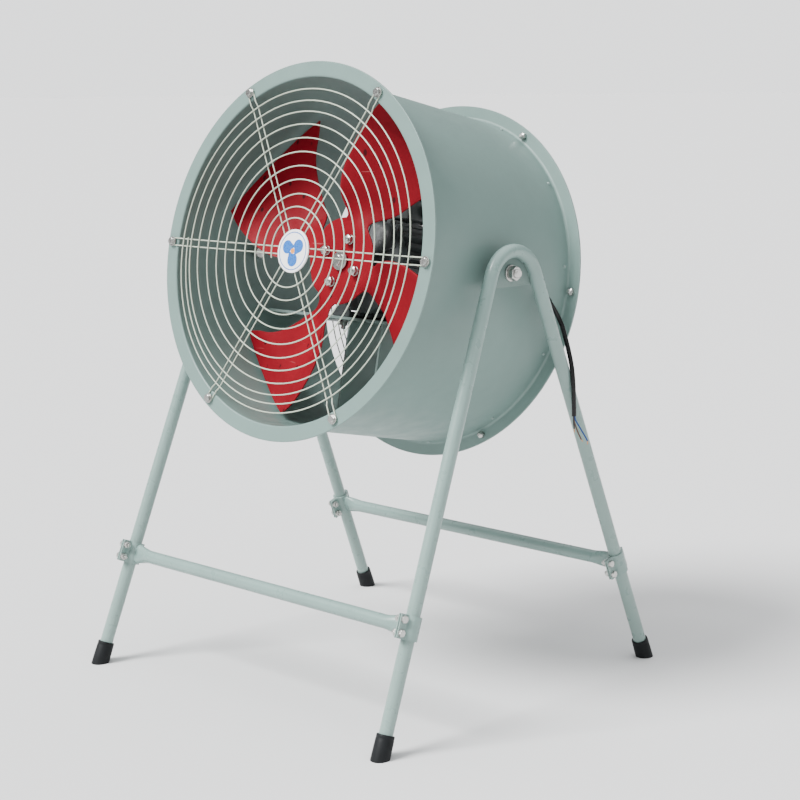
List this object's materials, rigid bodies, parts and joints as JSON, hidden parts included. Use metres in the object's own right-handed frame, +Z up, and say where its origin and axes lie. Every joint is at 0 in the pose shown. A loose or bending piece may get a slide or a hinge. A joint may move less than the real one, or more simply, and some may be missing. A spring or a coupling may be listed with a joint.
{
  "type": "portable axial drum fan",
  "caption": "Portable axial drum fan: flanged steel drum with red impeller, wire guards and motor, tilting on two side bolts in a tubular floor stand.",
  "frame": {"origin": "on the floor, under the middle of the stand's four feet", "axes": "+Z up; -Y the side the air inlet, front guard and badge face; +X the side with the power cable; the tilt pivots lie along X"},
  "size_m": [0.6442, 0.633, 0.9327],
  "materials": {
    "drum_paint": "satin grey-green enamel",
    "stand_paint": "satin grey-green enamel",
    "guard_paint": "satin pale grey-green enamel",
    "impeller_red": "satin red enamel",
    "zinc_fastener": "bright zinc plate",
    "badge_white": null,
    "motor_casting": "dark grey painted casting",
    "machined_steel": "turned",
    "lamination_steel": "varnished laminations",
    "black_rubber": "matt moulded",
    "cable_sheath": "smooth sheath",
    "core_insulation": "blue, brown and black core insulation with bare ends"
  },
  "bodies": {
    "stand": {"clamp_bolt_front_left_1": "zinc_fastener", "clamp_bolt_front_left_2": "zinc_fastener", "clamp_bolt_front_right_1": "zinc_fastener", "clamp_bolt_front_right_2": "zinc_fastener", "clamp_bolt_rear_left_1": "zinc_fastener", "clamp_bolt_rear_left_2": "zinc_fastener", "clamp_bolt_rear_right_1": "zinc_fastener", "clamp_bolt_rear_right_2": "zinc_fastener", "clamp_cap_front_left": "stand_paint", "clamp_cap_front_right": "stand_paint", "clamp_cap_rear_left": "stand_paint", "clamp_cap_rear_right": "stand_paint", "crossbar_front": "stand_paint", "crossbar_rear": "stand_paint", "pivot_nut_left": "zinc_fastener", "pivot_nut_right": "zinc_fastener", "pivot_plate_left": "stand_paint", "pivot_plate_right": "stand_paint", "rubber_foot_front_left": "black_rubber", "rubber_foot_front_right": "black_rubber", "rubber_foot_rear_left": "black_rubber", "rubber_foot_rear_right": "black_rubber", "side_frame_left": "stand_paint", "side_frame_right": "stand_paint", "power_cable": "cable_sheath", "cable_cores": "core_insulation"},
    "drum": {"badge_disc": "badge_white", "cable_boot": "black_rubber", "drum_casing": "drum_paint", "front_guard_bolt_1": "zinc_fastener", "front_guard_bolt_2": "zinc_fastener", "front_guard_bolt_3": "zinc_fastener", "front_guard_bolt_4": "zinc_fastener", "front_guard_bolt_5": "zinc_fastener", "front_guard_bolt_6": "zinc_fastener", "front_guard_spiral": "guard_paint", "front_guard_spokes": "guard_paint", "motor_frame": "motor_casting", "motor_front_shield": "motor_casting", "motor_support": "drum_paint", "pivot_bolt_left": "zinc_fastener", "pivot_bolt_right": "zinc_fastener", "rear_guard_bolt_1": "zinc_fastener", "rear_guard_bolt_2": "zinc_fastener", "rear_guard_bolt_3": "zinc_fastener", "rear_guard_bolt_4": "zinc_fastener", "rear_guard_bolt_5": "zinc_fastener", "rear_guard_bolt_6": "zinc_fastener", "rear_guard_spiral": "guard_paint", "rear_guard_spokes": "guard_paint", "stator_core": "lamination_steel", "terminal_box": "motor_casting"},
    "rotor": {"impeller": "impeller_red", "hub_boss": "machined_steel", "motor_rotor": "machined_steel", "shaft_screw": "zinc_fastener", "hub_bolt_1": "zinc_fastener", "hub_bolt_2": "zinc_fastener", "hub_bolt_3": "zinc_fastener", "hub_bolt_4": "zinc_fastener"}
  },
  "joints": [
    {"name": "drum_tilt", "type": "hinge", "parent": "stand", "child": "drum", "pos_m": [0, 0, 0.6327], "axis": [1, 0, 0], "range_deg": [-33, 42]},
    {"name": "fan_spin", "type": "hinge", "parent": "drum", "child": "rotor", "pos_m": [0, 0, 0.6249], "axis": [0, -0.9778, 0.2096], "continuous": true}
  ]
}
